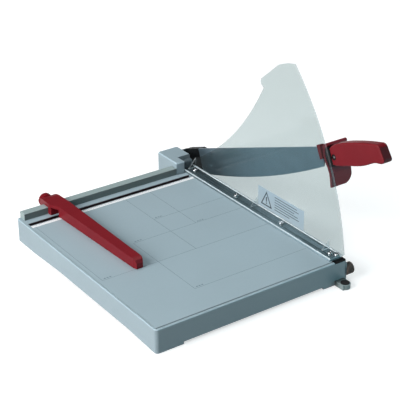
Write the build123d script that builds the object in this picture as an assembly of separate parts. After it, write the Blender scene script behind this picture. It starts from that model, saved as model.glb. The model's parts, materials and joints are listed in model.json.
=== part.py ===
from build123d import *
import os
from math import sin, cos, radians, hypot

# Guillotine paper cutter: painted metal table with a fence at the back, a bed
# knife along the right edge, a long blade lever pivoted at the rear right, a
# clear swinging safety guard fixed to the clamping bar, and a red back gauge
# arm that slides along the fence and is locked by a knurled knob.
#
# The pieces are drawn in the table's own axes (x = 0 at the cutting plane,
# y = 0 near the fence, z = 0 on the table surface; the user stands at -Y)
# and are shifted at the end, so that the origin is the centre of the bottom
# of the whole object's box.

os.makedirs("parts", exist_ok=True)

# ---------------------------------------------------------------- dimensions
BASE_X0, BASE_X1 = -306.5, 0.0      # table width
BASE_Y0, BASE_Y1 = -352.0, 13.5     # table depth
BASE_H = 35.0                       # height of the table over the floor
DECK_T = 5.0                        # thickness of the deck with its inlay
WALL = 4.0                          # skirt thickness
SKIRT_GAP = 3.8                     # skirt's lower edge above the floor
PLATE_T = 1.6                       # inlaid table plate

KNIFE_T, KNIFE_H = 5.0, 26.0        # bed knife
PIVOT_Y, PIVOT_Z = 36.0, -8.0       # lever axis, parallel to X
PHI = 20.73                         # lever angle above horizontal at rest
HUB_R = 24.0
BLADE_X0, BLADE_X1 = 0.3, 3.3       # blade thickness 3 mm
SPINE_X1 = 9.3                      # lever bar behind the blade
ARM_X1 = 13.0                       # thick rear part of the lever
BLADE_TOP_V = 25.75                 # back of the blade, over the pivot line
BLADE_R = 1230.0                    # radius of the convex cutting edge
BLADE_LOW_U, BLADE_LOW_V = 155.0, -18.0
BLADE_U0, BLADE_U1 = 52.0, 358.0

GUARD_X0, GUARD_X1 = -4.0, -1.5     # upright acrylic sheet
FLANGE_X0 = -22.5
BAR_Z0, BAR_Z1 = 0.3, 2.3           # clamping bar
FLANGE_Z1 = 4.5                     # top of the sheet's foot
GH_Y, GH_Z = 9.0, 10.0              # guard hinge axis, parallel to X

FENCE_X0, FENCE_X1 = -300.5, -38.5
FENCE_Y0, FENCE_Y1, FENCE_H = -0.5, 13.0, 10.0
GROOVE_Y0, GROOVE_Y1 = -20.0, -12.0
GAUGE_X = -250.0                    # middle of the gauge arm at rest
KNOB_X, KNOB_Z, KNOB_R = -250.0, 6.4, 10.2

c, s = cos(radians(PHI)), sin(radians(PHI))


# ------------------------------------------------------------------- helpers
def bx(x0, x1, y0, y1, z0, z1):
    return Pos((x0 + x1) / 2, (y0 + y1) / 2, (z0 + z1) / 2) * Box(x1 - x0, y1 - y0, z1 - z0)


def cx(r, x0, x1, y, z):
    return Pos((x0 + x1) / 2, y, z) * Rot(0, 90, 0) * Cylinder(r, x1 - x0)


def cy(r, y0, y1, x, z):
    return Pos(x, (y0 + y1) / 2, z) * Rot(90, 0, 0) * Cylinder(r, y1 - y0)


def cz(r, z0, z1, x, y):
    return Pos(x, y, (z0 + z1) / 2) * Cylinder(r, z1 - z0)


def prism_x(edges, x0, x1):
    """Closed outline of (y, z) edges, from x0 to x1."""
    return extrude(Plane.YZ.offset(x0) * make_face(edges), x1 - x0)


def poly(pts):
    return Polyline(*pts, close=True)


def prism_z(pts, z0, z1):
    return extrude(Plane.XY.offset(z0) * make_face(poly(pts)), z1 - z0)


# Lever axes: u along the lever from the pivot, v upwards across it, and the
# third axis is -X, so a depth x in the table's axes is w = -x here.
LEVER = Plane(origin=(0, PIVOT_Y, PIVOT_Z), x_dir=(0, -c, s), z_dir=(-1, 0, 0))


def lev(edges, x0, x1):
    """Closed outline of (u, v) edges on the lever, from x0 to x1."""
    face = make_face(edges)
    body = extrude(Pos(0, 0, -x1) * face, x1 - x0)
    return LEVER.location * body


def levcyl(r, x0, x1, u, v):
    return LEVER.location * (Pos(u, v, -(x0 + x1) / 2) * Cylinder(r, x1 - x0))


def csk_x(r, x_head, x_tip, y, z, head_r, head_l, sign):
    """Countersunk screw along X, flat head at x_head, running to x_tip."""
    L = abs(x_tip - x_head)
    body = Pos(x_head, y, z) * Rot(0, 90 * sign, 0) * (
        Pos(0, 0, head_l / 2) * Cone(head_r, r, head_l)
        + Pos(0, 0, (head_l + L) / 2) * Cylinder(r, L - head_l))
    slot = Pos(x_head, y, z) * Rot(0, 90 * sign, 0) * (Pos(0, 0, 0.5) * Box(1.0, head_r * 1.7, 1.0))
    return body - slot


parts = {}

# ---------------------------------------------------------------- base frame
X0, X1, Y0, Y1 = BASE_X0, BASE_X1, BASE_Y0, BASE_Y1
HX0, HX1, HY0, HY1 = -38.0, -0.5, 0.0, 54.0     # pivot housing footprint
outer = bx(X0, X1, Y0, Y1, -BASE_H + 0.4, 0)
vert = outer.edges().filter_by(Axis.Z).sort_by(lambda e: e.center().X - e.center().Y)
outer = fillet(vert[:-1], 5)
vert = outer.edges().filter_by(Axis.Z).sort_by(lambda e: e.center().X - e.center().Y)
outer = fillet(vert[-1], 1.5)
outer = fillet(outer.faces().sort_by(Axis.Z)[-1].edges(), 1.4)
inner = bx(X0 + WALL, -12.0, Y0 + WALL, Y1 - WALL, -BASE_H - 1, -DECK_T)
inner = fillet(inner.edges().filter_by(Axis.Z), 3)
base = outer - inner
base -= bx(HX0, X1 + 5, HY0, Y1 + 5, -BASE_H - 5, 5)                     # corner for the pivot housing
base += bx(HX0 - 4, -12.0, -6.0, 0.0, -BASE_H + SKIRT_GAP, -DECK_T)      # wall in front of the housing
base += bx(HX0 - 4, HX0, -6.0, Y1 - WALL, -BASE_H + SKIRT_GAP, -DECK_T)  # wall beside the housing
base -= bx(-KNIFE_T, X1 + 5, -345.0, 1.0, -KNIFE_H, 5)                   # rebate for the bed knife
# skirt raised between the corner feet
base -= bx(X0 + WALL + 0.5, X1 + 5, -310.0, -40.0, -BASE_H - 1, -BASE_H + SKIRT_GAP)
# on the left the lower edge is a shallow arch without a step
base -= prism_x(poly([(-350.0, -34.6), (-285.0, -BASE_H + SKIRT_GAP), (-105.0, -BASE_H + SKIRT_GAP),
                      (-35.0, -34.6), (-35.0, -BASE_H - 1), (-350.0, -BASE_H - 1)]), X0 - 5, X0 + WALL + 0.5)
base -= bx(-265.0, -38.0, Y0 - 5, Y1 + 5, -BASE_H - 1, -BASE_H + SKIRT_GAP)
# corner blocks for the feet
FEET = [(-288.0, -333.5), (-288.0, -5.0), (-27.5, -333.5)]
BLOCKS = []
for fx, fy in FEET:
    ex0 = X0 + 3 if fx < -100 else fx - 14.5
    ex1 = fx + 14.5 if fx < -100 else -9.0
    ey0 = Y0 + 3 if fy < -100 else fy - 14.5
    ey1 = fy + 14.5 if fy < -100 else Y1 - 3
    BLOCKS.append(bx(ex0, ex1, ey0, ey1, -BASE_H + SKIRT_GAP, -DECK_T))
# recess for the inlaid plate, track groove and the front end block
PX0, PX1, PY0, PY1 = X0 + 3.6, -KNIFE_T - 0.1, -347.6, -0.8
base -= bx(PX0 - 0.4, -KNIFE_T + 0.1, PY0 - 0.8, PY1 + 0.2, -PLATE_T, 5)
base -= bx(-301.5, -24.5, GROOVE_Y0, GROOVE_Y1, -4.0, 5)
base -= bx(-20.0, -1.0, Y0 - 1, -345.4, -2.0, 5)
foot_blocks = []
for (fx, fy), blk in zip(FEET, BLOCKS):
    blk -= base
    blk -= cz(2.0, -BASE_H, -BASE_H + 14, fx, fy)                        # foot screw holes
    blk -= cz(4.2, -BASE_H - 1, -3.0, -280.0, 6.0)                       # way to the fence screw
    foot_blocks.append(blk)
SCREW_Y = [-325.0, -250.0, -175.0, -100.0, -25.0]
for y in SCREW_Y:
    base -= cx(2.5, -12.5, -KNIFE_T + 1, y, -14.0)                       # bed knife screw holes
for x in (-280.0, -170.0, -60.0):
    base -= cz(2.0, -6.0, 1, x, 6.0)                                     # fence screw holes
    base -= cz(4.2, -10.0, -3.4, x, 6.0)
parts["base_frame"] = base
parts["foot_blocks"] = Compound(children=foot_blocks)

# ------------------------------------------------------- plate inlaid on top
plate = bx(PX0, PX1, PY0, PY1, -PLATE_T, 0)
plate -= bx(-301.5, -24.5, GROOVE_Y0, GROOVE_Y1, -5, 5)
plate -= bx(-20.4, 5, Y0 - 1, -345.0, -5, 5)
plate -= bx(HX0 - 0.3, 5, -0.3 - 3.0, 5, -5, 5)
plate -= bx(-301.5, -23.8, -27.0, -21.0, -0.5, 5)                        # seat of the scale strip
parts["table_plate"] = plate

# ------------------------------------------------- track and measuring scale
track = bx(-301.5, -24.5, GROOVE_Y0, GROOVE_Y1, -4.0, -0.2)
track -= bx(-305, -20, GROOVE_Y0 + 1.6, GROOVE_Y1 - 1.6, -2.8, 1)
parts["gauge_track"] = track
parts["scale_strip"] = bx(-301.5, -23.8, -27.0, -21.0, -0.5, 0.1)

# --------------------------------------------------------------------- fence
fence = bx(FENCE_X0, FENCE_X1, FENCE_Y0, FENCE_Y1, 0.0, FENCE_H)
fence = fillet(fence.faces().sort_by(Axis.Z)[-1].edges(), 1.0)
for x in (-280.0, -170.0, -60.0):
    fence -= cz(2.0, -1, 7.5, x, 6.0)
parts["fence"] = fence
fs = []
for x in (-280.0, -170.0, -60.0):
    fs.append(cz(1.95, -4.0, 7.0, x, 6.0) + cz(3.8, -6.6, -4.0 + 0.6, x, 6.0)
              - cz(1.6, -7.0, -5.2, x, 6.0))
parts["fence_screws"] = Compound(children=fs)

# ------------------------------------------------------------- pivot housing
house = bx(HX0, HX1, HY0, HY1, -BASE_H + 0.4, 18.0)
house = fillet(house.edges().filter_by(Axis.Z).sort_by(Axis.Y)[-2:], 4)
house = chamfer(house.faces().sort_by(Axis.Z)[-1].edges(), 1.5)
house -= bx(-23.5, 5, HY0 - 5, 18.6, -3.0, 25)                           # notch for the guard's hinge end
house -= bx(-33.0, -10.5, 23.0, 49.5, -BASE_H - 1, 9.0)                  # pocket for the pivot nut, open below
house -= cx(6.0, -12, 1, PIVOT_Y, PIVOT_Z)                               # pivot bolt hole
house -= cx(2.5, -32.0, -20.0, GH_Y, GH_Z)                               # guard hinge pin hole
house -= cz(2.0, -BASE_H, -BASE_H + 14, -21.0, 11.5)
for z in (-26.0, -12.0):
    house -= cx(2.0, HX0 - 1, -30.0, 4.9, z)                             # fixing screws from the frame
    parts["base_frame"] -= cx(2.3, HX0 - 5, HX0 + 1, 4.9, z)
parts["pivot_housing"] = house
hs = []
for z in (-26.0, -12.0):
    hs.append(cx(1.95, HX0 - 4, -31.0, 4.9, z) + cx(3.8, HX0 - 7.2, HX0 - 4, 4.9, z)
              - cx(1.6, HX0 - 7.6, HX0 - 5.4, 4.9, z))
parts["housing_screws"] = Compound(children=hs)

# ------------------------------------------------- bed knife and its screws
knife = bx(-KNIFE_T, 0.0, -344.8, -0.4, -KNIFE_H + 0.2, 0.0)
ks = []
for y in SCREW_Y:
    scr = csk_x(2.45, -0.2, -11.5, y, -14.0, 5.0, 2.8, -1)
    hole = Pos(0.0, y, -14.0) * Rot(0, -90, 0) * (
        Pos(0, 0, 1.5) * Cone(5.2, 2.5, 3.0) + Pos(0, 0, 3.0) * Cylinder(2.5, 6.0))
    knife -= hole
    ks.append(scr)
parts["bed_knife"] = knife
parts["bed_knife_screws"] = Compound(children=ks)

# --------------------------------------------------------- front end details
parts["front_end_block"] = bx(-19.8, -1.2, Y0, -345.6, -2.0, 0.7)
# lever buffer: ribbed rubber roller on the right face, near the front
BUF_Y, BUF_Z = -347.6, -18.5
PAD_X1, BUF_X1 = 2.2, 12.4          # the frame's pad behind the buffer, and the buffer's outer end
pad = bx(0.05, PAD_X1, Y0, -338.0, -BASE_H + 0.4, -5.4)              # its top stays below the closed handle
pad = fillet(pad.edges().filter_by(Axis.Z).sort_by(lambda e: e.center().X - e.center().Y)[-1], 1.2)
pad -= Pos(PAD_X1, -345.0, -5.4) * Rot(0, 45, 0) * Box(1.8, 20.0, 1.8)
parts["base_frame"] += pad + bx(-2.0, 0.4, Y0 + 1.6, -345.2, -BASE_H + 0.4, -6.0)
buf = cx(7.4, PAD_X1, BUF_X1, BUF_Y, BUF_Z)
for x0 in (2.6, 5.3, 8.0, 10.6):
    buf += cx(8.3, x0, x0 + 1.6, BUF_Y, BUF_Z)
buf -= cx(2.6, -1, 14, BUF_Y, BUF_Z)
buf -= cx(5.0, BUF_X1 - 1.6, 14, BUF_Y, BUF_Z)
parts["lever_buffer"] = buf
parts["base_frame"] -= cx(2.5, -13, 3, BUF_Y, BUF_Z)
parts["buffer_bolt"] = (cx(2.45, -12.0, BUF_X1 - 1.6, BUF_Y, BUF_Z) + cx(4.6, BUF_X1 - 1.6, BUF_X1 - 0.2, BUF_Y, BUF_Z)
                        - cx(2.0, BUF_X1 - 1.1, 14, BUF_Y, BUF_Z))

# outrigger foot in front of the right corner, with its rubber plug
OX, OY = -11.0, -364.0
lug = cz(7.6, -BASE_H + 0.6, -27.5, OX, OY) + bx(-19.0, OX, OY - 5.5, Y0, -BASE_H + 0.6, -27.5)
lug += bx(OX, -3.4, OY, Y0, -BASE_H + 0.6, -27.5)
lug -= cz(5.0, -BASE_H - 1, -20, OX, OY)
parts["outrigger_foot"] = lug
parts["outrigger_plug"] = cz(5.0, -BASE_H, -27.5, OX, OY) + cz(6.2, -27.5, -26.6, OX, OY)

# ---------------------------------------------------------------------- feet
rf, fsw = [], []
for fx, fy in FEET + [(-21.0, 11.5)]:
    top = -BASE_H + (SKIRT_GAP if fx != -21.0 else 0.4)
    foot = cz(8.0 if fx != -21.0 else 7.0, -BASE_H, top, fx, fy)
    foot -= cz(2.0, -BASE_H - 1, top + 1, fx, fy)
    if fx != -21.0:
        foot -= cz(4.0, -BASE_H - 1, -BASE_H + 1.6, fx, fy)
        fsw.append(cz(1.95, -BASE_H + 1.6, -BASE_H + 13, fx, fy)
                   + cz(3.8, -BASE_H + 0.4, -BASE_H + 1.6, fx, fy))
    else:
        fsw.append(cz(1.95, -BASE_H + 0.3, -BASE_H + 13, fx, fy))
    rf.append(foot)
parts["rubber_feet"] = Compound(children=rf)
parts["foot_screws"] = Compound(children=fsw)

# ------------------------------------------------------ pivot bolt and stack
bolt = cx(5.95, -28.0, 14.4, PIVOT_Y, PIVOT_Z) + cx(9.5, 14.4, 20.0, PIVOT_Y, PIVOT_Z)
bolt -= Pos(20.0, PIVOT_Y, PIVOT_Z) * Rot(0, 90, 0) * extrude(RegularPolygon(4.6, 6), -3.2)
parts["pivot_bolt"] = bolt
parts["pivot_washer"] = cx(13.0, 13.3, 14.4, PIVOT_Y, PIVOT_Z) - cx(5.95, 12, 15, PIVOT_Y, PIVOT_Z)
ws = []
for i in range(3):
    w = cx(9.6, -11.9 - 1.4 * i, -10.5 - 1.4 * i, PIVOT_Y, PIVOT_Z)
    ws.append(w - cx(5.95, -30, 0, PIVOT_Y, PIVOT_Z))
parts["spring_washers"] = Compound(children=ws)
nut = Pos(-22.7, PIVOT_Y, PIVOT_Z) * Rot(0, 90, 0) * extrude(RegularPolygon(10.4, 6), 8.0)
parts["pivot_nut"] = nut - cx(5.95, -40, 0, PIVOT_Y, PIVOT_Z)

# ---------------------------------------------------------------- the lever
U0, U1 = BLADE_U0, BLADE_U1


def edge_v(u, off=0.0):
    """Height of the cutting edge at u."""
    return BLADE_LOW_V + BLADE_R - ((BLADE_R - off) ** 2 - (u - BLADE_LOW_U) ** 2) ** 0.5


# thick rear part round the pivot
rear = lev(Circle(HUB_R).edges(), 0.5, ARM_X1)
rear += lev(poly([(3.0, HUB_R - 0.2), (14.0, BLADE_TOP_V), (U0, BLADE_TOP_V), (U0, -9.0),
                  (16.0, -17.8), (0.0, -HUB_R), (0.0, 0.0)]), 0.5, ARM_X1)
# bar behind the blade, running on as the tang inside the handle
rear += lev(poly([(U0, 20.5), (340.0, 20.0), (468.0, 20.0), (468.0, 9.0), (340.0, 8.0), (U0, -4.0)]),
            BLADE_X1, SPINE_X1)
rear += lev(poly([(U0 - 0.1, 25.75), (U0 + 12, 20.5), (U0 + 12, -2.0), (U0 - 0.1, -9.0)]), BLADE_X1, ARM_X1)
rear -= levcyl(9.0, -1, 20, 0, 0)
BLADE_SCREWS = [(78.0, 9.0), (142.0, 11.0), (206.0, 12.5), (270.0, 13.5), (328.0, 14.0)]
for u, v in BLADE_SCREWS:
    rear -= levcyl(2.5, BLADE_X1 - 1, SPINE_X1 + 1, u, v)
HANDLE_SCREWS = [(381.0, 11.2, 1), (455.0, 15.0, -1)]   # the last number: head on the left or right side
for u, v, _ in HANDLE_SCREWS:
    rear -= levcyl(2.5, 0, 20, u, v)
parts["lever_arm"] = rear

bush = cx(9.0, 0.4, ARM_X1 + 0.1, PIVOT_Y, PIVOT_Z) - cx(6.0, -1, 20, PIVOT_Y, PIVOT_Z)
parts["pivot_bush"] = bush

# blade: straight back, convex edge with a bevel on its outer side
mid = ((U0 + U1) / 2, edge_v((U0 + U1) / 2))
outline = [Line((U0, edge_v(U0)), (U0, BLADE_TOP_V)), Line((U0, BLADE_TOP_V), (U1 - 4, BLADE_TOP_V)),
           Line((U1 - 4, BLADE_TOP_V), (U1, BLADE_TOP_V - 4)),
           Line((U1, BLADE_TOP_V - 4), (U1, edge_v(U1))),
           ThreePointArc((U1, edge_v(U1)), mid, (U0, edge_v(U0)))]
blade = lev(outline, BLADE_X0, BLADE_X1)
# bevel: a conical cut about the centre of the edge's radius
prof = make_face(poly([(BLADE_R - 7.5, -BLADE_X1 - 0.01), (BLADE_R + 1.0, -BLADE_X1 - 0.01),
                       (BLADE_R + 1.0, -BLADE_X0 - 0.22), (BLADE_R, -BLADE_X0 - 0.22)]))
rev_plane = Plane(origin=(BLADE_LOW_U, BLADE_LOW_V + BLADE_R, 0), x_dir=(0, -1, 0), z_dir=(-1, 0, 0))
# in rev_plane, local x runs down towards the edge and local y is the depth axis
wedge = revolve(Rot(0, 0, -12.0) * (Plane(origin=(0, 0, 0), x_dir=(0, -1, 0), z_dir=(1, 0, 0)).location
                                    * Rot(180, 0, 0) * prof), Axis.Z, 24.0)
wedge = Pos(BLADE_LOW_U, BLADE_LOW_V + BLADE_R, 0) * wedge
wedge = LEVER.location * wedge
blade -= wedge
bs = []
for u, v in BLADE_SCREWS:
    blade -= levcyl(2.1, BLADE_X0 + 1.0, BLADE_X1 + 1, u, v)
    sc = levcyl(2.05, BLADE_X0 + 1.0, BLADE_X1, u, v) + levcyl(2.45, BLADE_X1, SPINE_X1, u, v)
    sc += levcyl(4.8, SPINE_X1, SPINE_X1 + 2.8, u, v)
    sc -= LEVER.location * (Pos(u, v, -(SPINE_X1 + 2.8)) * extrude(RegularPolygon(1.9, 6), 1.8))
    bs.append(sc)
parts["blade"] = blade
parts["blade_screws"] = Compound(children=bs)

# red sleeve clipped over the back of the blade, in front of the hand guard
sleeve = lev(poly([(351.0, 27.6), (352.0, 28.8), (358.2, 28.8), (358.2, 9.5), (353.0, 8.8)]), -0.9, 6.0)
sleeve -= parts["lever_arm"]
sleeve -= parts["blade"]
parts["lever_sleeve"] = sleeve.solids().sort_by(lambda q: q.volume)[-1] if len(sleeve.solids()) > 1 else sleeve

# hand guard: red plate across the lever, its top lip hooked towards the handle
HG_X0, HG_X1 = 0.5, 36.0
hgp = [(361.2, -30.6), (363.4, -19.6), (364.6, -11.0), (363.0, -2.4), (360.8, 4.0), (360.0, 9.5), (360.3, 17.0),
       (361.6, 26.0), (364.4, 29.2), (368.2, 30.0), (370.6, 28.9), (371.2, 26.8), (369.8, 24.9), (366.2, 23.4),
       (363.9, 17.0), (363.6, 10.0), (364.4, 4.6), (366.6, -2.4), (368.2, -11.0), (367.0, -19.6), (364.8, -30.6)]
hg = lev(poly(hgp), HG_X0, HG_X1)
cut = Pos(0, 0, 0) * bx(HG_X1 - 14.0, HG_X1 + 1, -60, 60, -1, 1)
# rounded lower far corner
cr = 14.0
corner = LEVER.location * (Pos(361.0, -31.0 + cr / 2 - 0.5, -(HG_X1 - cr / 2 + 0.5)) * Box(20, cr + 1, cr + 1))
keep = LEVER.location * (Pos(361.0, -30.8 + cr, -(HG_X1 - cr)) * Rot(0, 90, 0) * Cylinder(cr, 30))
hg -= (corner - keep)
hg -= parts["lever_arm"]
parts["hand_guard"] = hg

# black collar between the hand guard and the handle
collar = lev(poly([(366.6, -2.4), (375.3, -1.6), (373.3, 21.0), (371.5, 24.1), (369.6, 24.6), (366.2, 23.4),
                   (363.9, 17.0), (363.6, 10.0), (364.4, 4.6)]), 1.5, 14.0)
collar -= parts["lever_arm"]
collar -= parts["hand_guard"]
parts["handle_collar"] = collar

# handle shells
h_top = Spline((373.8, 22.3), (379.8, 26.2), (392.8, 29.3), (409.0, 30.5), (421.5, 30.5), (450.5, 29.2), (468.2, 27.5))
h_bot = Spline((477.2, 2.4), (473.0, 1.7), (463.8, 2.9), (447.0, 0.8), (426.0, -1.3), (409.0, -1.1), (384.0, -0.8),
               (375.9, 0.4))
h_edges = [h_top, ThreePointArc((468.2, 27.5), (473.2, 25.9), (476.2, 20.6)), Line((476.2, 20.6), (479.9, 7.0)),
           ThreePointArc((479.9, 7.0), (479.3, 4.0), (477.2, 2.4)), h_bot, Line((375.9, 0.4), (373.8, 22.3))]
HX_L, HX_S, HX_R = 0.6, 6.3, 16.0
left = lev(h_edges, HX_L, HX_S)
left = fillet(left.faces().sort_by(Axis.X)[0].edges(), 1.6)
right = lev(h_edges, HX_S, HX_R)
right = fillet(right.faces().sort_by(Axis.X)[-1].edges(), 2.6)
tang = lev(poly([(360.0, 20.0), (468.2, 20.0), (468.2, 9.0), (360.0, 8.1)]), BLADE_X1, SPINE_X1)
left -= parts["lever_arm"]
right -= parts["lever_arm"]
left -= tang
right -= tang
hsc = []
for u, v, side in HANDLE_SCREWS:
    if side > 0:
        left -= levcyl(2.5, -1, 10, u, v)
        left -= levcyl(4.3, -1, HX_L + 1.8, u, v)
        right -= levcyl(2.5, 5, 13.5, u, v)
        sc = levcyl(4.1, HX_L + 0.4, HX_L + 1.8, u, v) + levcyl(2.45, HX_L + 1.8, 13.0, u, v)
        sc -= LEVER.location * (Pos(u, v, -(HX_L + 0.4)) * Box(6.0, 1.0, 1.2))
    else:
        right -= levcyl(2.5, 5, 20, u, v)
        right -= levcyl(4.3, HX_R - 1.8, 20, u, v)
        left -= levcyl(2.5, 3.0, 10, u, v)
        sc = levcyl(4.1, HX_R - 1.8, HX_R - 0.4, u, v) + levcyl(2.45, 3.4, HX_R - 1.8, u, v)
        sc -= LEVER.location * (Pos(u, v, -(HX_R - 0.4)) * Box(6.0, 1.0, 1.2))
    hsc.append(sc)
parts["handle_left_shell"] = left
parts["handle_right_shell"] = right
parts["handle_screws"] = Compound(children=hsc)

# ----------------------------------------------------- safety guard and clamp
g_edges = [Line((17.0, BAR_Z1), (17.0, 8.8)),
           ThreePointArc((17.0, 8.8), (-89.0, 83.8), (-169.1, 189.4)),
           Spline((-169.1, 189.4), (-165.2, 191.8), (-162.3, 196.0), (-162.6, 199.6), (-163.8, 201.7)),
           Line((-163.8, 201.7), (-201.5, 233.1)),
           Line((-201.5, 233.1), (-219.0, 240.4)), Line((-219.0, 240.4), (-234.8, 243.7)),
           ThreePointArc((-234.8, 243.7), (-312.5, 131.0), (-350.0, 6.0)),
           Line((-350.0, 6.0), (-346.0, BAR_Z1)), Line((-346.0, BAR_Z1), (17.0, BAR_Z1))]
guard = prism_x(g_edges, GUARD_X0, GUARD_X1)
guard += bx(FLANGE_X0, GUARD_X1, -344.6, 16.5, BAR_Z1, FLANGE_Z1)
bar = bx(FLANGE_X0 - 0.5, GUARD_X0 + 0.5, -344.4, 16.0, BAR_Z0, BAR_Z1)
GS_Y = [-13.0, -119.7, -226.4, -333.0]
gsc = []
for y in GS_Y:
    guard -= cz(2.05, 0, 10, -13.0, y)
    bar -= cz(2.05, 0.9, 10, -13.0, y)
    sc = cz(2.0, 0.9, FLANGE_Z1, -13.0, y) + cz(3.8, FLANGE_Z1, FLANGE_Z1 + 2.2, -13.0, y)
    sc = fillet(sc.faces().sort_by(Axis.Z)[-1].edges(), 1.0)
    sc -= Pos(-13.0, y, FLANGE_Z1 + 2.2) * Rot(0, 0, 35) * Box(4.6, 0.9, 1.4)
    sc -= Pos(-13.0, y, FLANGE_Z1 + 2.2) * Rot(0, 0, 125) * Box(4.6, 0.9, 1.4)
    gsc.append(sc)
# lug at the rear that takes the hinge pin
hl = bx(-19.5, -6.0, 3.0, 15.0, BAR_Z1 + 2.2, GH_Z) + cx(5.5, -19.5, -6.0, GH_Y, GH_Z)
hl -= cx(2.5, -30, 0, GH_Y, GH_Z)
parts["hinge_lug"] = hl
parts["guard_hinge_pin"] = cx(2.45, -31.0, -6.6, GH_Y, GH_Z)
parts["safety_guard"] = guard
parts["clamp_bar"] = bar
parts["guard_screws"] = Compound(children=gsc)
# nut with washer at the front end of the clamp bar
parts["front_guard_screw"] = (cz(2.0, 0.9, FLANGE_Z1, -8.5, -341.0)
                              + cz(3.4, FLANGE_Z1, FLANGE_Z1 + 0.6, -8.5, -341.0)
                              + cz(2.4, FLANGE_Z1 + 0.6, FLANGE_Z1 + 2.6, -8.5, -341.0))
parts["safety_guard"] -= cz(2.0, 0, 10, -8.5, -341.0)
parts["clamp_bar"] -= cz(2.0, 0.9, 10, -8.5, -341.0)
gs = []
for y in (-1.5, -160.0, -320.0):
    tri = extrude(Plane.XZ.offset(-y) * make_face(poly([(GUARD_X0, FLANGE_Z1), (GUARD_X0 - 13.0, FLANGE_Z1),
                                                       (GUARD_X0, FLANGE_Z1 + 15.0)])), 1.5)
    gs.append(tri)
parts["guard_gussets"] = Compound(children=gs)
parts["guard_label"] = bx(GUARD_X0 - 0.2, GUARD_X0, -265.5, -161.5, 6.6, 37.0)

# ----------------------------------------------------------------- back gauge
upper = prism_z([(-262.5, 22.6), (-236.0, 22.6), (-234.5, -10.0), (-233.0, -206.0), (-235.0, -212.0),
                 (-244.8, -212.0), (-246.8, -206.0), (-255.2, -22.0), (-262.5, -6.0)], 0.4, 17.5)
side = extrude(Plane.YZ.offset(-275.0) * make_face(poly([
    (22.6, 0.4), (22.6, 15.2), (15.3, 16.8), (-14.0, 17.0), (-204.0, 14.6), (-209.5, 13.0), (-212.0, 8.5),
    (-212.0, 0.4), (-20.4, 0.4), (-20.4, 12.2), (-8.0, 12.2), (-8.0, 0.4), (-0.9, 0.4), (-0.9, 10.4),
    (14.6, 10.4), (14.6, 0.4)])), 50.0)
arm = upper & side
arm -= cy(3.0, 10, 25, KNOB_X, KNOB_Z)
arm -= cy(3.4, 13, 14.7, KNOB_X, KNOB_Z)
arm -= cz(2.0, 10, 15.0, -245.0, -16.0)
parts["gauge_arm"] = arm
# guide shoe running in the track, hung from the arm
shoe = bx(-256.0, -235.0, -18.1, -13.9, -2.5, 0.6) + bx(-249.0, -241.0, -18.1, -13.9, 0.6, 12.2)
shoe -= cz(1.9, -0.5, 13.0, -245.0, -16.0)
parts["guide_shoe"] = shoe
parts["shoe_screw"] = cz(1.85, -0.4, 14.8, -245.0, -16.0)
# clamp pad between the knob's stud and the back of the fence
parts["clamp_pad"] = cy(3.2, 13.3, 14.4, KNOB_X, KNOB_Z)

knob = cy(KNOB_R - 0.7, 23.2, 34.0, KNOB_X, KNOB_Z)
knob = fillet(knob.faces().sort_by(Axis.Y)[-1].edges(), 1.2)
for i in range(24):
    a = i * 15.0
    knob += Pos(KNOB_X, 28.4, KNOB_Z) * Rot(0, a, 0) * Pos(KNOB_R - 0.75, 0, 0) * Box(1.5, 8.6, 1.3)
knob -= cy(2.92, 19, 31.0, KNOB_X, KNOB_Z)
parts["gauge_knob"] = knob
stud = cy(2.92, 14.6, 31.0, KNOB_X, KNOB_Z)
parts["knob_stud"] = stud

# ------------------------------------------------------------------- export
boxes = [p.bounding_box() for p in parts.values()]
lo = [min(getattr(b.min, k) for b in boxes) for k in "XYZ"]
hi = [max(getattr(b.max, k) for b in boxes) for k in "XYZ"]
SHIFT = (-(lo[0] + hi[0]) / 2, -(lo[1] + hi[1]) / 2, -lo[2])
print("box", [round(v, 3) for v in lo], [round(v, 3) for v in hi])
print("shift", [round(v, 4) for v in SHIFT], "nodes", len(parts))
for name, shape in parts.items():
    moved = Pos(*SHIFT) * shape
    sol = moved.solids()
    out = sol[0] if len(sol) == 1 else Compound(children=list(sol))
    export_step(out, os.path.join("parts", name + ".step"))
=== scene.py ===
import json
import math
import random

import bmesh
import bpy
from mathutils import Matrix, Vector


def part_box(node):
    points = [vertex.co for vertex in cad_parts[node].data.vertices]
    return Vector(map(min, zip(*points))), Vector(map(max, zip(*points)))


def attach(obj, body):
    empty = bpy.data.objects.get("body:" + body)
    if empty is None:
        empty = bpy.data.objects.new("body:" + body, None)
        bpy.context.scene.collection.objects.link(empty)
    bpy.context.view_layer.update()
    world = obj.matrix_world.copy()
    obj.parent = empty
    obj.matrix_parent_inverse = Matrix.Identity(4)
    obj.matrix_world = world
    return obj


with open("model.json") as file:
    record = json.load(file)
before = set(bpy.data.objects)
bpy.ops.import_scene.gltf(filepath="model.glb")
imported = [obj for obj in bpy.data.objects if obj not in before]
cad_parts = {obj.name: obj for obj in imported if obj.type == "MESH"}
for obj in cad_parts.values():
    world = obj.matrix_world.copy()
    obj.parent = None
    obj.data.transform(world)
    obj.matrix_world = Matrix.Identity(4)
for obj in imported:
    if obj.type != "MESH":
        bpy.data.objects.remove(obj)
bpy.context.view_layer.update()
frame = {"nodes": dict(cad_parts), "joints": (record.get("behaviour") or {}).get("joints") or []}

SC = bpy.context.scene
NODES = frame["nodes"]
JOINTS = {j["name"]: j for j in frame["joints"]}

# The table's own axes in millimetres: x = 0 at the cutting plane, y = 0 near
# the fence, z = 0 on the table. ORG is their origin in the row's frame.
_klo, _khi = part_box("bed_knife")
PIV = Vector(JOINTS["lever_pivot"]["pos_m"])
ORG = Vector((_khi.x, PIV.y - 0.036, _khi.z))
PHI = math.radians(20.73)
CU, SU = math.cos(PHI), math.sin(PHI)


def T(x, y, z):
    return ORG + Vector((x, y, z)) / 1000.0


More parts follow.
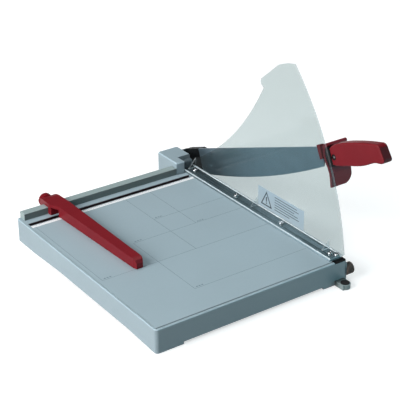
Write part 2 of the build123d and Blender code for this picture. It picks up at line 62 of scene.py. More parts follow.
def L(u, v, x):
    """A point on the lever: u along it from the pivot, v up across it, x the table's x, all in mm."""
    return Vector((ORG.x + x / 1000.0,
                   PIV.y + (-CU * u + SU * v) / 1000.0,
                   PIV.z + (SU * u + CU * v) / 1000.0))


# ------------------------------------------------------------------ materials
def srgb(r, g, b):
    def f(c):
        c = c / 255.0
        return c / 12.92 if c <= 0.04045 else ((c + 0.055) / 1.055) ** 2.4
    return (f(r), f(g), f(b), 1.0)


class Mat:
    def __init__(self, name):
        self.m = bpy.data.materials.new(name)
        self.m.use_nodes = True
        self.nt = self.m.node_tree
        self.bsdf = self.nt.nodes["Principled BSDF"]
        self.out = self.nt.nodes["Material Output"]
        self._tc = None

    def n(self, kind, **kw):
        node = self.nt.nodes.new(kind)
        for k, v in kw.items():
            if k.startswith("in_"):
                node.inputs[k[3:].replace("_", " ")].default_value = v
            else:
                setattr(node, k, v)
        return node

    def link(self, a, b):
        self.nt.links.new(a, b)

    def coords(self, scale=(1, 1, 1), rot=(0, 0, 0), loc=(0, 0, 0)):
        if self._tc is None:
            self._tc = self.n("ShaderNodeTexCoord")
        mp = self.n("ShaderNodeMapping")
        mp.inputs["Scale"].default_value = scale
        mp.inputs["Rotation"].default_value = rot
        mp.inputs["Location"].default_value = loc
        self.link(self._tc.outputs["Object"], mp.inputs["Vector"])
        return mp.outputs["Vector"]

    def noise(self, scale, detail=3.0, rough=0.55, vec=None, **kw):
        t = self.n("ShaderNodeTexNoise")
        t.inputs["Scale"].default_value = scale
        t.inputs["Detail"].default_value = detail
        t.inputs["Roughness"].default_value = rough
        self.link(vec if vec is not None else self.coords(), t.inputs["Vector"])
        return t.outputs["Fac"]

    def ramp(self, fac, stops):
        r = self.n("ShaderNodeValToRGB")
        els = r.color_ramp.elements
        while len(els) < len(stops):
            els.new(0.5)
        for e, (pos, col) in zip(els, stops):
            e.position = pos
            e.color = col
        self.link(fac, r.inputs["Fac"])
        return r.outputs["Color"]

    def range(self, fac, a, b, lo=0.3, hi=0.7):
        r = self.n("ShaderNodeMapRange")
        r.inputs["From Min"].default_value = lo
        r.inputs["From Max"].default_value = hi
        r.inputs["To Min"].default_value = a
        r.inputs["To Max"].default_value = b
        self.link(fac, r.inputs["Value"])
        return r.outputs["Result"]

    def math(self, op, a, b=None):
        m = self.n("ShaderNodeMath", operation=op)
        for i, v in enumerate((a, b)):
            if v is None:
                continue
            if isinstance(v, (int, float)):
                m.inputs[i].default_value = v
            else:
                self.link(v, m.inputs[i])
        return m.outputs["Value"]

    def bump(self, height, strength, dist, normal=None):
        b = self.n("ShaderNodeBump")
        b.inputs["Strength"].default_value = strength
        b.inputs["Distance"].default_value = dist
        self.link(height, b.inputs["Height"])
        if normal is not None:
            self.link(normal, b.inputs["Normal"])
        return b.outputs["Normal"]

    def set(self, **kw):
        for k, v in kw.items():
            self.bsdf.inputs[k.replace("_", " ")].default_value = v


def painted_depth_shading(m, y_rear, y_front, k_rear, k_front):
    """Painted shade and light: deepens or lightens a material's colour from the rear of the table to the front."""
    nt = m.node_tree
    bsdf = nt.nodes["Principled BSDF"]
    src = bsdf.inputs["Base Color"].links[0].from_socket
    tc = nt.nodes.new("ShaderNodeTexCoord")
    sp = nt.nodes.new("ShaderNodeSeparateXYZ")
    nt.links.new(tc.outputs["Object"], sp.inputs["Vector"])
    r = nt.nodes.new("ShaderNodeMapRange")
    r.interpolation_type = "SMOOTHSTEP"
    r.inputs["From Min"].default_value = T(0, y_rear, 0).y
    r.inputs["From Max"].default_value = T(0, y_front, 0).y
    r.inputs["To Min"].default_value = k_rear
    r.inputs["To Max"].default_value = k_front
    nt.links.new(sp.outputs["Y"], r.inputs["Value"])
    mul = nt.nodes.new("ShaderNodeVectorMath")
    mul.operation = "SCALE"
    nt.links.new(src, mul.inputs[0])
    nt.links.new(r.outputs["Result"], mul.inputs["Scale"])
    nt.links.new(mul.outputs["Vector"], bsdf.inputs["Base Color"])


def face_tone(m, k):
    """Darkens the faces that look towards the user: painted shade on the handle's end face, a darker face on the
    fence.
    """
    nt = m.node_tree
    bsdf = nt.nodes["Principled BSDF"]
    src = bsdf.inputs["Base Color"].links[0].from_socket
    ge = nt.nodes.new("ShaderNodeNewGeometry")
    sp = nt.nodes.new("ShaderNodeSeparateXYZ")
    vt = nt.nodes.new("ShaderNodeVectorTransform")           # so that the tone turns with the piece
    vt.vector_type = "NORMAL"
    vt.convert_from = "WORLD"
    vt.convert_to = "OBJECT"
    nt.links.new(ge.outputs["True Normal"], vt.inputs["Vector"])
    nt.links.new(vt.outputs["Vector"], sp.inputs["Vector"])
    r = nt.nodes.new("ShaderNodeMapRange")
    r.inputs["From Min"].default_value = -0.85
    r.inputs["From Max"].default_value = -0.6
    r.inputs["To Min"].default_value = k
    r.inputs["To Max"].default_value = 1.0
    nt.links.new(sp.outputs["Y"], r.inputs["Value"])
    mul = nt.nodes.new("ShaderNodeVectorMath")
    mul.operation = "SCALE"
    nt.links.new(src, mul.inputs[0])
    nt.links.new(r.outputs["Result"], mul.inputs["Scale"])
    nt.links.new(mul.outputs["Vector"], bsdf.inputs["Base Color"])


def shade(col, k):
    return (col[0] * k, col[1] * k, col[2] * k, 1.0)


def enamel(name, col, grain=1500.0, rough=(0.36, 0.5), bump=0.22, speck=0.05, spec=0.5):
    """Textured enamel: fine orange peel, slight mottling, small specks."""
    M = Mat(name)
    big = M.noise(9.0, 4.0)
    fine = M.noise(grain, 2.0, 0.6)
    mid = M.noise(260.0, 3.0)
    mix = M.math("ADD", M.math("MULTIPLY", big, 0.55), M.math("MULTIPLY", fine, 0.45))
    c = M.ramp(mix, [(0.30, shade(col, 1 - speck)), (0.52, col), (0.72, shade(col, 1 + speck))])
    M.link(c, M.bsdf.inputs["Base Color"])
    M.link(M.range(mid, rough[0], rough[1]), M.bsdf.inputs["Roughness"])
    nrm = M.bump(M.noise(620.0, 2.0, 0.5), bump, 0.00025)
    M.link(M.bump(fine, bump * 0.6, 0.0001, nrm), M.bsdf.inputs["Normal"])
    M.set(Specular_IOR_Level=spec)
    return M.m


def plastic(name, col, rough=(0.34, 0.46), grain=2600.0, bump=0.16, tone=0.07, spec=0.5):
    """Moulded plastic with a fine spark-eroded grain, slight flow mottling and faint rubbed scratches."""
    M = Mat(name)
    flow = M.noise(34.0, 4.0, 0.6)
    fine = M.noise(grain, 2.0, 0.6)
    scr = M.noise(1.0, 5.0, 0.7, M.coords(scale=(60.0, 900.0, 240.0), rot=(0.35, 0.2, 0.6)))
    c = M.ramp(flow, [(0.30, shade(col, 1 - tone)), (0.55, col), (0.74, shade(col, 1 + tone))])
    M.link(c, M.bsdf.inputs["Base Color"])
    M.link(M.range(scr, rough[0], rough[1], 0.35, 0.68), M.bsdf.inputs["Roughness"])
    nrm = M.bump(fine, bump, 0.00008)
    M.link(M.bump(scr, 0.05, 0.00006, nrm), M.bsdf.inputs["Normal"])
    M.set(Specular_IOR_Level=spec)
    return M.m


def metal(name, col, rough=(0.2, 0.34), brush=(40.0, 1800.0, 1800.0), rot=(0, 0, 0), tone=0.10, bump=0.10, aniso=0.0):
    """Ground or drawn metal: fine streaks along one direction, cloudy handling marks."""
    M = Mat(name)
    streak = M.noise(1.0, 4.0, 0.65, M.coords(scale=brush, rot=rot))
    cloud = M.noise(55.0, 4.0, 0.6)
    both = M.math("ADD", M.math("MULTIPLY", streak, 0.6), M.math("MULTIPLY", cloud, 0.4))
    c = M.ramp(both, [(0.32, shade(col, 1 - tone)), (0.5, col), (0.70, shade(col, 1 + tone))])
    M.link(c, M.bsdf.inputs["Base Color"])
    M.link(M.range(both, rough[0], rough[1]), M.bsdf.inputs["Roughness"])
    M.link(M.bump(streak, bump, 0.00005), M.bsdf.inputs["Normal"])
    M.set(Metallic=1.0, Anisotropic=aniso)
    return M.m


def rubber(name, col):
    M = Mat(name)
    dust = M.noise(210.0, 4.0, 0.65)
    c = M.ramp(dust, [(0.35, shade(col, 0.8)), (0.62, col), (0.8, shade(col, 2.0))])
    M.link(c, M.bsdf.inputs["Base Color"])
    M.link(M.range(dust, 0.62, 0.85), M.bsdf.inputs["Roughness"])
    M.link(M.bump(M.noise(1900.0, 2.0), 0.25, 0.0001), M.bsdf.inputs["Normal"])
    return M.m


TABLE = srgb(152, 170, 178)
mat_frame = enamel("table_enamel", TABLE, rough=(0.34, 0.48))
mat_plate = enamel("plate_enamel", srgb(156, 174, 182), grain=1900.0, bump=0.16)
mat_fence = enamel("fence_enamel", srgb(150, 166, 166), bump=0.14)
mat_black = enamel("black_enamel", srgb(6, 7, 8), rough=(0.34, 0.5), bump=0.2, speck=0.2, spec=0.12)
mat_bar = enamel("bar_enamel", srgb(138, 160, 170), rough=(0.26, 0.40), bump=0.1)
mat_red = plastic("red_plastic", srgb(120, 18, 29), spec=0.22)
mat_red_handle = plastic("red_handle_plastic", srgb(120, 18, 29), spec=0.22)
mat_red_arm = plastic("red_arm_plastic", srgb(121, 17, 28), spec=0.24)
mat_red_guard = plastic("red_hand_guard_plastic", srgb(122, 30, 42), spec=0.3)
mat_blackpl = plastic("black_plastic", srgb(9, 9, 10), tone=0.25, spec=0.25)
mat_rubber = rubber("black_rubber", srgb(27, 23, 23))
mat_buffer = rubber("buffer_rubber", srgb(96, 86, 81))
mat_endblock = plastic("end_block_plastic", srgb(4, 4, 5), rough=(0.5, 0.62), tone=0.25, spec=0.12)
mat_outrigger = enamel("outrigger_enamel", srgb(150, 166, 166), rough=(0.36, 0.5))
# the blade's blue-grey base colour is partly the steel's own, partly a painted bluish reflection
mat_blade = metal("blade_steel", (0.345, 0.485, 0.575, 1), rough=(0.28, 0.40), brush=(1500.0, 26.0, 1900.0),
                  rot=(PHI, 0, 0))
mat_blade.node_tree.nodes["Principled BSDF"].inputs["Metallic"].default_value = 0.8
mat_knife = metal("knife_steel", (0.56, 0.59, 0.62, 1), rough=(0.16, 0.28), brush=(1500.0, 22.0, 1900.0))
mat_zinc = metal("zinc_screw", (0.72, 0.73, 0.74, 1), rough=(0.18, 0.3), brush=(900.0, 900.0, 900.0), tone=0.08)
mat_alu = metal("track_aluminium", (0.13, 0.11, 0.12, 1), rough=(0.38, 0.5), brush=(30.0, 1600.0, 1600.0))
mat_bronze = metal("bush_bronze", (0.62, 0.45, 0.24, 1), rough=(0.3, 0.42), brush=(600.0, 600.0, 600.0))
mat_nylon = plastic("white_nylon", srgb(216, 214, 205), rough=(0.4, 0.55), tone=0.03)
mat_film = plastic("white_film", srgb(240, 241, 242), rough=(0.35, 0.5), grain=900.0, bump=0.05, tone=0.02)
mat_label = plastic("label_film", srgb(192, 205, 215), rough=(0.4, 0.55), grain=900.0, bump=0.05, tone=0.03)
mat_ink = plastic("printing_ink", srgb(70, 82, 92), rough=(0.5, 0.6), bump=0.03, tone=0.1)
mat_pale = plastic("label_pale_ink", srgb(206, 216, 220), rough=(0.5, 0.6), bump=0.03, tone=0.05)
mat_line = plastic("format_line_ink", srgb(112, 128, 138), rough=(0.5, 0.6), bump=0.03, tone=0.1)
mat_redline = plastic("red_line_film", srgb(120, 44, 56), rough=(0.35, 0.5), bump=0.05, tone=0.1)


def edge_highlight_and_seam_shade(m, edge_highlight_gain, seam):
    """Painted highlight: lighter colour on the rounded upper edges. Painted shadow and dirt: dark on the floor of the
    seam round the inlaid plate.
    """
    nt = m.node_tree
    bsdf = nt.nodes["Principled BSDF"]
    src = bsdf.inputs["Base Color"].links[0].from_socket
    ge = nt.nodes.new("ShaderNodeNewGeometry")
    sp = nt.nodes.new("ShaderNodeSeparateXYZ")
    nt.links.new(ge.outputs["Normal"], sp.inputs["Vector"])
    # painted highlight: lighter colour on the rounded upper edges, picked out by the normal's upward part
    ramp = nt.nodes.new("ShaderNodeValToRGB")
    ramp.color_ramp.elements[0].position = 0.14
    ramp.color_ramp.elements[0].color = (1, 1, 1, 1)
    ramp.color_ramp.elements[1].position = 0.985
    ramp.color_ramp.elements[1].color = (1, 1, 1, 1)
    for pos in (0.42, 0.93):
        e = ramp.color_ramp.elements.new(pos)
        e.color = (edge_highlight_gain, edge_highlight_gain, edge_highlight_gain, 1)
    nt.links.new(sp.outputs["Z"], ramp.inputs["Fac"])
    tc = nt.nodes.new("ShaderNodeTexCoord")
    so = nt.nodes.new("ShaderNodeSeparateXYZ")
    nt.links.new(tc.outputs["Object"], so.inputs["Vector"])
    r = nt.nodes.new("ShaderNodeMapRange")                 # floor of the seam, 0.5 to 2 mm under the table: painted shadow and dirt
    r.inputs["From Min"].default_value = T(0, 0, -1.2).z
    r.inputs["From Max"].default_value = T(0, 0, -0.5).z
    r.inputs["To Min"].default_value = seam
    r.inputs["To Max"].default_value = 1.0
    nt.links.new(so.outputs["Z"], r.inputs["Value"])
    up = nt.nodes.new("ShaderNodeMath")
    up.operation = "GREATER_THAN"
    up.inputs[1].default_value = 0.9
    nt.links.new(sp.outputs["Z"], up.inputs[0])
    one = nt.nodes.new("ShaderNodeMapRange")
    one.inputs["To Min"].default_value = 1.0
    nt.links.new(up.outputs["Value"], one.inputs["Value"])
    nt.links.new(r.outputs["Result"], one.inputs["To Max"])
    s1 = nt.nodes.new("ShaderNodeVectorMath")
    s1.operation = "MULTIPLY"
    nt.links.new(src, s1.inputs[0])
    nt.links.new(ramp.outputs["Color"], s1.inputs[1])
    s2 = nt.nodes.new("ShaderNodeVectorMath")
    s2.operation = "SCALE"
    nt.links.new(s1.outputs["Vector"], s2.inputs[0])
    nt.links.new(one.outputs["Result"], s2.inputs["Scale"])
    nt.links.new(s2.outputs["Vector"], bsdf.inputs["Base Color"])


def seam_shadow_and_dirt(m, y0, width, k):
    """Painted shadow and dirt along the plate's front seam, broken up a little."""
    nt = m.node_tree
    bsdf = nt.nodes["Principled BSDF"]
    src = bsdf.inputs["Base Color"].links[0].from_socket
    tc = nt.nodes.new("ShaderNodeTexCoord")
    so = nt.nodes.new("ShaderNodeSeparateXYZ")
    nt.links.new(tc.outputs["Object"], so.inputs["Vector"])
    nz = nt.nodes.new("ShaderNodeTexNoise")
    nz.inputs["Scale"].default_value = 70.0
    nt.links.new(tc.outputs["Object"], nz.inputs["Vector"])
    wob = nt.nodes.new("ShaderNodeMath")
    wob.operation = "MULTIPLY_ADD"
    wob.inputs[1].default_value = 0.0006
    nt.links.new(nz.outputs["Fac"], wob.inputs[0])
    nt.links.new(so.outputs["Y"], wob.inputs[2])
    r = nt.nodes.new("ShaderNodeMapRange")
    r.inputs["From Min"].default_value = y0 + width * 0.7 + 0.0003
    r.inputs["From Max"].default_value = y0 + width * 1.2 + 0.0003
    r.inputs["To Min"].default_value = k
    r.inputs["To Max"].default_value = 1.0
    nt.links.new(wob.outputs["Value"], r.inputs["Value"])
    s = nt.nodes.new("ShaderNodeVectorMath")
    s.operation = "SCALE"
    nt.links.new(src, s.inputs[0])
    nt.links.new(r.outputs["Result"], s.inputs["Scale"])
    nt.links.new(s.outputs["Vector"], bsdf.inputs["Base Color"])


def thin_film(m, k):
    """Lets some light through a thin printed film, so that its back isn't black."""
    nt = m.node_tree
    bsdf = nt.nodes["Principled BSDF"]
    out = next(n for n in nt.nodes if n.type == "OUTPUT_MATERIAL")
    tl = nt.nodes.new("ShaderNodeBsdfTranslucent")
    tl.inputs["Color"].default_value = (0.78, 0.84, 0.88, 1.0)
    mx = nt.nodes.new("ShaderNodeMixShader")
    mx.inputs[0].default_value = k
    nt.links.new(bsdf.outputs["BSDF"], mx.inputs[1])
    nt.links.new(tl.outputs["BSDF"], mx.inputs[2])
    nt.links.new(mx.outputs["Shader"], out.inputs["Surface"])


def screw_head_painted_recess_shade(name, centres):
    """Screw head drawn black round its rim, a painted shade of its recess, with a grey bare-metal middle."""
    # black head colour: painted shade of the screw's recess
    m = enamel(name, srgb(8, 8, 9), rough=(0.3, 0.45), bump=0.2, speck=0.2, spec=0.2)
    nt = m.node_tree
    bsdf = nt.nodes["Principled BSDF"]
    src = bsdf.inputs["Base Color"].links[0].from_socket
    tc = nt.nodes.new("ShaderNodeTexCoord")
    bare_middle = None
    for c in centres:
        d = nt.nodes.new("ShaderNodeVectorMath")
        d.operation = "SUBTRACT"
        nt.links.new(tc.outputs["Object"], d.inputs[0])
        d.inputs[1].default_value = c
        f = nt.nodes.new("ShaderNodeVectorMath")
        f.operation = "MULTIPLY"
        f.inputs[1].default_value = (0.0, 1.0, 1.0)
        nt.links.new(d.outputs["Vector"], f.inputs[0])
        ln = nt.nodes.new("ShaderNodeVectorMath")
        ln.operation = "LENGTH"
        nt.links.new(f.outputs["Vector"], ln.inputs[0])
        r = nt.nodes.new("ShaderNodeMapRange")
        r.inputs["From Min"].default_value = 0.0008
        r.inputs["From Max"].default_value = 0.0019
        r.inputs["To Min"].default_value = 1.0
        r.inputs["To Max"].default_value = 0.0
        nt.links.new(ln.outputs["Value"], r.inputs["Value"])
        if bare_middle is None:
            bare_middle = r.outputs["Result"]
        else:
            a = nt.nodes.new("ShaderNodeMath")
            a.operation = "MAXIMUM"
            nt.links.new(bare_middle, a.inputs[0])
            nt.links.new(r.outputs["Result"], a.inputs[1])
            bare_middle = a.outputs["Value"]
    # grey bare-metal middle inside the painted black
    mix = nt.nodes.new("ShaderNodeMix")
    mix.data_type = "RGBA"
    nt.links.new(bare_middle, mix.inputs[0])
    nt.links.new(src, mix.inputs[6])
    mix.inputs[7].default_value = (0.26, 0.265, 0.27, 1.0)
    nt.links.new(mix.outputs[2], bsdf.inputs["Base Color"])
    return m


# painted shade: the handle screws are drawn black round a grey middle, for the shade of their recess
mat_hscrew = screw_head_painted_recess_shade("handle_screw", [tuple(L(381.0, 11.2, 0.0)), tuple(L(455.0, 15.0, 0.0))])
# painted highlight on the frame's rounded upper edges, painted shadow and dirt in the seam round the plate
edge_highlight_and_seam_shade(mat_frame, 1.3, 0.22)
_pl, _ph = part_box("table_plate")
# painted shadow and dirt: a dark line along the plate's front seam
seam_shadow_and_dirt(mat_plate, _pl.y, 0.0012, 0.5)
thin_film(mat_label, 0.6)
# painted shade: the outrigger darkens towards the base, where the base shades it
painted_depth_shading(mat_outrigger, -353.0, -364.0, 0.16, 0.86)
face_tone(mat_fence, 0.42)
# painted shade: the handle's end face, which looks towards the user, is drawn darker
face_tone(mat_red_handle, 0.42)
# painted shade: the blade darkens towards the pivot
painted_depth_shading(mat_blade, -8.0, -170.0, 0.34, 1.0)
# painted shade and reflection: the clamp bar darkens towards the rear and lightens towards the front
painted_depth_shading(mat_bar, -10.0, -330.0, 0.32, 0.95)


def acrylic(name, face_rgb, low_rgb, axis_low, axis_high):
    """Clear sheet with a slight smoky tint: see-through faces with a fresnel gloss and faint wipe marks, and
    polished rims drawn pale and nearly opaque, a painted highlight. Below the sheet's foot the faces look along
    axis_low, above it along axis_high."""
    M = Mat(name)
    nt = M.nt
    nt.nodes.remove(M.bsdf)
    tr = M.n("ShaderNodeBsdfTransparent")
    gl = M.n("ShaderNodeBsdfGlossy")
    gl.inputs["Color"].default_value = (0.95, 0.98, 1.0, 1.0)
    wipe = M.noise(1.0, 4.0, 0.6, M.coords(scale=(40.0, 22.0, 60.0), rot=(0.5, 0.0, 0.0)))
    fine = M.noise(1.0, 5.0, 0.7, M.coords(scale=(400.0, 90.0, 1300.0), rot=(0.9, 0.0, 0.0)))
    M.link(M.range(fine, 0.03, 0.10), gl.inputs["Roughness"])
    sep = M.n("ShaderNodeSeparateXYZ")
    M.link(M.coords(), sep.inputs["Vector"])
    z = M.range(sep.outputs["Z"], 0.0, 1.0, 0.036, 0.21)
    zz = M.math("ADD", z, M.math("MULTIPLY", M.math("SUBTRACT", wipe, 0.5), 0.16))
    col = M.ramp(zz, [(0.0, low_rgb), (1.0, face_rgb)])
    M.link(col, tr.inputs["Color"])
    geo = M.n("ShaderNodeNewGeometry")
    fr = M.n("ShaderNodeFresnel")
    fr.inputs["IOR"].default_value = 1.49
    front = M.math("SUBTRACT", 1.0, geo.outputs["Backfacing"])
    mx = M.n("ShaderNodeMixShader")
    M.link(M.math("MULTIPLY", M.math("MULTIPLY", fr.outputs["Fac"], front), 0.42), mx.inputs[0])
    M.link(tr.outputs["BSDF"], mx.inputs[1])
    M.link(gl.outputs["BSDF"], mx.inputs[2])
    # thin haze of wipe marks
    df = M.n("ShaderNodeBsdfDiffuse")
    df.inputs["Color"].default_value = (0.80, 0.86, 0.88, 1.0)
    mh = M.n("ShaderNodeMixShader")
    M.link(M.range(wipe, 0.004, 0.016), mh.inputs[0])
    M.link(mx.outputs["Shader"], mh.inputs[1])
    M.link(df.outputs["BSDF"], mh.inputs[2])
    # polished rims, drawn pale and nearly opaque: a painted highlight of the light the sheet carries to its edges
    ns = M.n("ShaderNodeSeparateXYZ")
    M.link(geo.outputs["True Normal"], ns.inputs["Vector"])
    lo_face = M.math("GREATER_THAN", M.math("ABSOLUTE", ns.outputs[axis_low]), 0.7)
    hi_face = M.math("GREATER_THAN", M.math("ABSOLUTE", ns.outputs[axis_high]), 0.7)
    up = M.math("GREATER_THAN", sep.outputs["Z"], T(0, 0, 4.6).z)
    face = M.math("ADD", M.math("MULTIPLY", hi_face, up),
                  M.math("MULTIPLY", lo_face, M.math("SUBTRACT", 1.0, up)))
    rim_highlight = M.n("ShaderNodeBsdfPrincipled")
    rn = M.noise(420.0, 3.0)
    M.link(M.ramp(rn, [(0.35, srgb(188, 204, 208)), (0.65, srgb(226, 236, 240))]), rim_highlight.inputs["Base Color"])
    M.link(M.range(rn, 0.12, 0.28), rim_highlight.inputs["Roughness"])
    M.link(M.math("SUBTRACT", 0.9, M.math("MULTIPLY", up, 0.62)), rim_highlight.inputs["Alpha"])
    me = M.n("ShaderNodeMixShader")
    M.link(face, me.inputs[0])
    M.link(rim_highlight.outputs["BSDF"], me.inputs[1])
    M.link(mh.outputs["Shader"], me.inputs[2])
    M.link(me.outputs["Shader"], M.out.inputs["Surface"])
    return M.m


mat_acr = acrylic("clear_acrylic", (0.745, 0.79, 0.788, 1), (0.755, 0.795, 0.798, 1), "Z", "X")
mat_gus = acrylic("clear_gusset_acrylic", (0.90, 0.93, 0.94, 1), (0.88, 0.91, 0.92, 1), "Y", "Y")

assign = {
    "base_frame": mat_frame, "foot_blocks": mat_blackpl, "pivot_housing": mat_frame, "outrigger_foot": mat_outrigger, "table_plate": mat_plate,
    "fence": mat_fence, "gauge_track": mat_alu, "scale_strip": mat_film, "guard_label": mat_label,
    "fence_screws": mat_zinc, "housing_screws": mat_zinc, "bed_knife": mat_knife, "bed_knife_screws": mat_zinc,
    "front_end_block": mat_endblock, "lever_buffer": mat_buffer, "buffer_bolt": mat_zinc,
    "outrigger_plug": mat_rubber, "rubber_feet": mat_rubber, "foot_screws": mat_zinc,
    "pivot_bolt": mat_black, "pivot_washer": mat_zinc, "spring_washers": mat_zinc, "pivot_nut": mat_zinc,
    "guard_hinge_pin": mat_zinc, "lever_arm": mat_black, "pivot_bush": mat_bronze, "blade": mat_blade,
    "blade_screws": mat_black, "lever_sleeve": mat_red, "hand_guard": mat_red_guard, "handle_collar": mat_blackpl,
    "handle_left_shell": mat_red_handle, "handle_right_shell": mat_red_handle, "handle_screws": mat_hscrew,
    "safety_guard": mat_acr, "guard_gussets": mat_gus, "clamp_bar": mat_bar, "guard_screws": mat_zinc,
    "front_guard_screw": mat_zinc, "hinge_lug": mat_bar, "gauge_arm": mat_red_arm, "guide_shoe": mat_blackpl,
    "shoe_screw": mat_zinc, "clamp_pad": mat_nylon, "gauge_knob": mat_red_arm, "knob_stud": mat_zinc,
}
for name, m in assign.items():
    o = NODES[name]
    o.data.materials.clear()
    o.data.materials.append(m)


NODES["safety_guard"].visible_shadow = False


def soften(name, width, segs=2, angle=35.0):
    o = NODES[name]
    b = o.modifiers.new("edge", "BEVEL")
    b.width = width / 1000.0
    b.segments = segs
    b.limit_method = "ANGLE"
    b.angle_limit = math.radians(angle)
    b.use_clamp_overlap = True
    b.harden_normals = False


for name, w in {"pivot_housing": 1.2, "table_plate": 0.15, "fence": 0.3,
                "hand_guard": 0.7, "lever_sleeve": 0.6, "handle_collar": 0.8, "lever_arm": 0.5,
                "front_end_block": 0.4, "clamp_bar": 0.2, "hinge_lug": 0.4,
                "gauge_arm": 1.2, "gauge_knob": 0.25, "outrigger_foot": 0.6}.items():
    soften(name, w)

# ---------------------------------------------------------------- mesh helpers
def mesh_piece(name, verts, faces, mat, body, smooth=False):
    me = bpy.data.meshes.new(name)
    me.from_pydata([tuple(v) for v in verts], [], faces)
    bm = bmesh.new()
    bm.from_mesh(me)
    bmesh.ops.remove_doubles(bm, verts=bm.verts, dist=1e-7)
    bmesh.ops.recalc_face_normals(bm, faces=bm.faces)
    bm.to_mesh(me)
    bm.free()
    me.update()
    if smooth:
        for p in me.polygons:
            p.use_smooth = True
    o = bpy.data.objects.new(name, me)
    SC.collection.objects.link(o)
    o.data.materials.append(mat)
    if body:
        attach(o, body)
    return o


class Boxes:
    """Many thin printed marks as one mesh of closed slabs, in the table's axes, mm."""

    def __init__(self):
        self.v, self.f = [], []

    def add(self, x0, x1, y0, y1, z0, z1):
        k = len(self.v)
        for z in (z0, z1):
            for x, y in ((x0, y0), (x1, y0), (x1, y1), (x0, y1)):
                self.v.append(T(x, y, z))
        self.f += [(k, k + 3, k + 2, k + 1), (k + 4, k + 5, k + 6, k + 7), (k, k + 1, k + 5, k + 4),
                   (k + 1, k + 2, k + 6, k + 5), (k + 2, k + 3, k + 7, k + 6), (k + 3, k, k + 4, k + 7)]

    def make(self, name, mat, body="root"):
        return mesh_piece(name, self.v, self.f, mat, body)


# ------------------------------------------------------------- printed marks
b = Boxes()
W = 0.28
for y, xl in ((-105.0, -148.0), (-148.0, -210.0), (-210.0, -297.0), (-297.0, -210.0)):
    b.add(xl, -24.0, y - W, y + W, 0.0, 0.03)
for x, ya, yb in ((-297.0, -210.0, -28.0), (-210.0, -297.0, -148.0), (-148.0, -210.0, -28.0), (-105.0, -148.0, -28.0)):
    b.add(x - W, x + W, ya, yb, 0.0, 0.03)
b.make("format_lines", mat_line)
# small generic marks beside the format corners
b = Boxes()
for x, y in ((-148.0, -105.0), (-210.0, -148.0), (-297.0, -210.0), (-210.0, -297.0), (-105.0, -148.0)):
    for k in range(3):
        b.add(x + 4.0 + 4.2 * k, x + 6.8 + 4.2 * k, y + 2.2, y + 4.0, 0.0, 0.03)
b.make("format_marks", mat_line)
# millimetre scale
b = Boxes()
for mm in range(26, 300):
    long = 3.4 if mm % 10 == 0 else (2.6 if mm % 5 == 0 else 1.7)
    b.add(-mm - 0.09, -mm + 0.09, -21.2 - long, -21.2, 0.1, 0.13)
b.make("scale_ticks", mat_ink)
# red base line in the track
b = Boxes()
b.add(-301.0, -25.0, -18.2, -16.4, -2.79, -2.7)
b.make("track_red_line", mat_redline)

# generic pictogram and plain bars on the guard's sticker, which faces the user
lx = -4.2
b = Boxes()
for r, w in enumerate((50.0, 54.0, 44.0, 52.0, 55.0, 34.0)):
    z1 = 32.6 - r * 3.9
    b.add(lx - 0.03, lx, -200.0 - w, -200.0, z1 - 1.0, z1)
b.make("label_bars", mat_ink, "guard")


def stroke(pts, w, x0, x1, name, mat, body):
    """A closed line of width w drawn through (y, z) points on the sticker."""
    n = len(pts)
    cyx = sum(q[0] for q in pts) / n
    czx = sum(q[1] for q in pts) / n
    rings = []
    for k in (1.0, 1.0 - w):
        rings.append([(cyx + (q[0] - cyx) * k, czx + (q[1] - czx) * k) for q in pts])
    v = [T(x, *q) for x in (x0, x1) for ring in rings for q in ring]
    f = []
    for i in range(n):
        j = (i + 1) % n
        a, c2, d, e = i, j, n + j, n + i
        f += [(a, e, d, c2), (a + 2 * n, c2 + 2 * n, d + 2 * n, e + 2 * n),
              (a, c2, c2 + 2 * n, a + 2 * n), (e, e + 2 * n, d + 2 * n, d)]
    return mesh_piece(name, v, f, mat, body)


stroke([(-194.0, 10.5), (-168.0, 10.5), (-181.0, 34.0)], 0.26, lx - 0.03, lx, "label_triangle", mat_ink, "guard")
b = Boxes()
b.add(lx - 0.03, lx, -182.2, -179.8, 17.6, 25.0)
b.add(lx - 0.03, lx, -182.2, -179.8, 14.2, 16.2)
b.make("label_exclamation", mat_ink, "guard")

# weld bead of clear cement where the upright sheet meets its foot, drawn pale as a painted highlight along the bend
bead_v, bead_f = [], []
for i, y in enumerate((-344.4, 16.3)):
    for k in range(5):
        a = math.radians(90.0 * k / 4)
        bead_v.append(T(-4.0 - 1.1 * (1 - math.sin(a)), y, 4.5 + 1.1 * (1 - math.cos(a))))
    bead_v.append(T(-4.0, y, 4.5))
for k in range(5):
    bead_f.append((k, k + 1, k + 7, k + 6))
bead_f += [(5, 0, 6, 11), (0, 5, 4, 3, 2, 1), (6, 7, 8, 9, 10, 11)]
BM = Mat("cement_bead_highlight")
bn = BM.noise(300.0, 3.0)
# pale colour: partly the cement, partly a painted highlight along the bend
BM.link(BM.ramp(bn, [(0.35, srgb(196, 210, 216)), (0.65, srgb(232, 240, 244))]), BM.bsdf.inputs["Base Color"])
BM.link(BM.range(bn, 0.1, 0.25), BM.bsdf.inputs["Roughness"])
BM.set(Alpha=0.7)
mesh_piece("guard_foot_bead", bead_v, bead_f, BM.m, "guard")

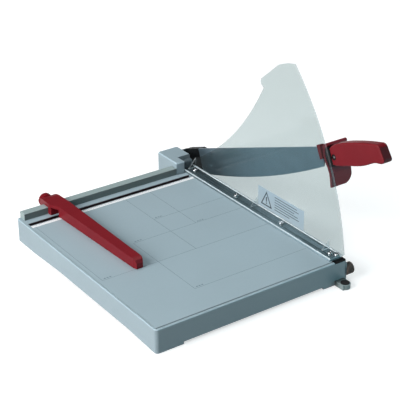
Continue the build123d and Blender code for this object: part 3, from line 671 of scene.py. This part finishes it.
# ------------------------------------------------------------ floor and light
fl = mesh_piece("floor", [(-9, -9, 0), (9, -9, 0), (9, 9, 0), (-9, 9, 0)], [(0, 1, 2, 3)], mat_film, None)
F = Mat("floor_pale")
F.link(F.ramp(F.noise(3.0, 3.0), [(0.3, (0.60, 0.605, 0.605, 1)), (0.7, (0.62, 0.62, 0.62, 1))]), F.bsdf.inputs["Base Color"])
F.set(Roughness=0.9, Emission_Color=(1.0, 1.0, 1.0, 1.0), Emission_Strength=0.58)
fl.data.materials.clear()
fl.data.materials.append(F.m)
fl.visible_diffuse = False        # as over a dark bench: the floor throws no light up at the front
tcf = F.nt.nodes.new("ShaderNodeTexCoord")
lnf = F.nt.nodes.new("ShaderNodeVectorMath")
lnf.operation = "LENGTH"
F.nt.links.new(tcf.outputs["Object"], lnf.inputs[0])
glow = F.nt.nodes.new("ShaderNodeMapRange")                  # the soft lights fade with distance; the glow makes up for it
glow.interpolation_type = "SMOOTHSTEP"
glow.inputs["From Min"].default_value = 0.8
glow.inputs["From Max"].default_value = 2.2
glow.inputs["To Min"].default_value = 0.58
glow.inputs["To Max"].default_value = 0.98
F.nt.links.new(lnf.outputs["Value"], glow.inputs["Value"])
F.nt.links.new(glow.outputs["Result"], F.bsdf.inputs["Emission Strength"])

# a pale wall all round, far off, so that low views end in white
wv, wf, NW = [], [], 48
for i in range(NW):
    a = 2 * math.pi * i / NW
    wv += [(8.6 * math.cos(a), 8.6 * math.sin(a), -0.01), (8.6 * math.cos(a), 8.6 * math.sin(a), 9.0)]
for i in range(NW):
    j = (i + 1) % NW
    wf.append((2 * i, 2 * i + 1, 2 * j + 1, 2 * j))
wall = mesh_piece("wall", wv, wf, mat_film, None)
WM = Mat("wall_pale")
WM.link(WM.ramp(WM.noise(1.5, 2.0), [(0.3, (0.0, 0.0, 0.0, 1)), (0.7, (0.004, 0.004, 0.004, 1))]), WM.bsdf.inputs["Base Color"])
WM.set(Roughness=1.0, Emission_Color=(1.0, 1.0, 1.0, 1.0), Emission_Strength=0.98)
wall.data.materials.clear()
wall.data.materials.append(WM.m)
wall.visible_diffuse = False
wall.visible_glossy = False
wall.visible_shadow = False


def area(name, loc, target, size, power, col=(1, 1, 1), size_y=None):
    d = bpy.data.lights.new(name, "AREA")
    d.energy = power
    d.color = col
    d.size = size
    if size_y:
        d.shape = "RECTANGLE"
        d.size_y = size_y
    o = bpy.data.objects.new(name, d)
    SC.collection.objects.link(o)
    o.location = loc
    o.rotation_euler = (Vector(target) - Vector(loc)).to_track_quat("-Z", "Y").to_euler()
    return o


area("key_left", (-2.2, -0.1, 1.3), (0, 0, 0.05), 1.5, 77.0)
area("top_soft", (0.1, 0.5, 2.6), (0, 0, 0.0), 2.4, 30.0)
area("front_fill", (0.85, -1.0, 0.42), (0.1, -0.15, 0.0), 0.6, 2.05, (0.26, 1.0, 1.14))

w = bpy.data.worlds.new("studio")
SC.world = w
w.use_nodes = True
w.node_tree.nodes["Background"].inputs["Color"].default_value = (0.82, 1.0, 1.08, 1.0)
w.node_tree.nodes["Background"].inputs["Strength"].default_value = 0.11

# --------------------------------------------------------------------- camera
cam = bpy.data.cameras.new("camera")
cam.lens = 112.65
cam.sensor_width = 36.0
cam.clip_start = 0.05
cam.clip_end = 60.0
co = bpy.data.objects.new("camera", cam)
SC.collection.objects.link(co)
az, el, roll = math.radians(-34.773), math.radians(26.812), math.radians(-0.393)
C = Vector((-998.646, -1445.719, 832.554))
TG = Vector((-59.109, -92.559, 0.0))
fwd = (TG - C).normalized()
right = fwd.cross(Vector((0, 0, 1))).normalized()
down = fwd.cross(right).normalized()
cr, sr = math.cos(roll), math.sin(roll)
r2 = right * cr - down * sr
d2 = right * sr + down * cr
R = Matrix((r2, -d2, -fwd)).transposed()
co.matrix_world = Matrix.Translation(T(*C)) @ R.to_4x4()
SC.camera = co

SC.view_settings.view_transform = "Standard"
SC.view_settings.look = "None"
SC.cycles.use_denoising = True
